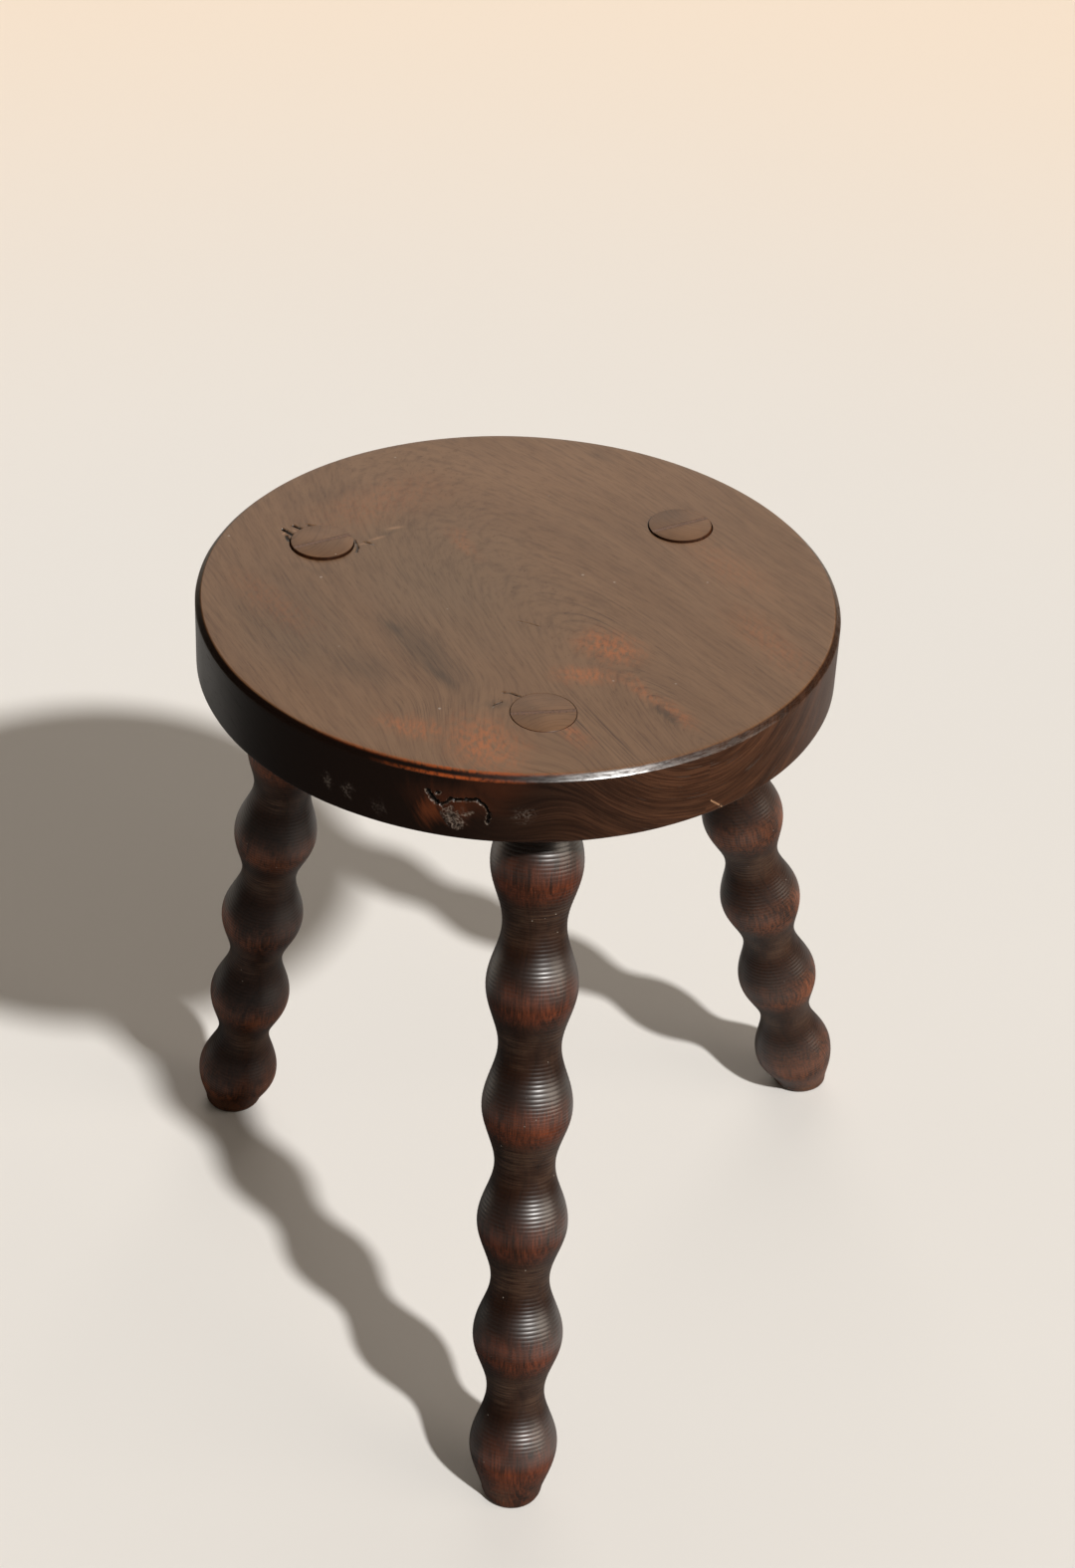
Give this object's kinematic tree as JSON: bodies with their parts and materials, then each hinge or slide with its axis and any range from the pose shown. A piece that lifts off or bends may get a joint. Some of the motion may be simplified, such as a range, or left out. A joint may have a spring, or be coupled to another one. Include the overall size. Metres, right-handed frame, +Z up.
{
  "type": "milking stool",
  "caption": "Antique milking stool: a thick round plank seat on splayed bobbin-turned legs, their tenons wedged through the seat, in dark stained and waxed wood.",
  "frame": {"origin": "on the floor, under the middle of the stool's box; the seat's axis stands at x = -0.0094, y = 0.0270", "axes": "+Z up, from the floor to the seat; -Y towards the front leg; +X towards the rear right leg"},
  "size_m": [0.329, 0.334, 0.3689],
  "materials": {
    "seat_wood": "dark stained and waxed plank, worn to a soft sheen",
    "leg_wood": "near-black stained turning, waxed, red-brown where rubbed",
    "wedge_wood": "stained slip of the same wood, cut flush"
  },
  "bodies": {
    "root": {"seat": "seat_wood", "leg_front": "leg_wood", "leg_rear_left": "leg_wood", "leg_rear_right": "leg_wood", "wedge_front": "wedge_wood", "wedge_rear_left": "wedge_wood", "wedge_rear_right": "wedge_wood"}
  },
  "joints": []
}
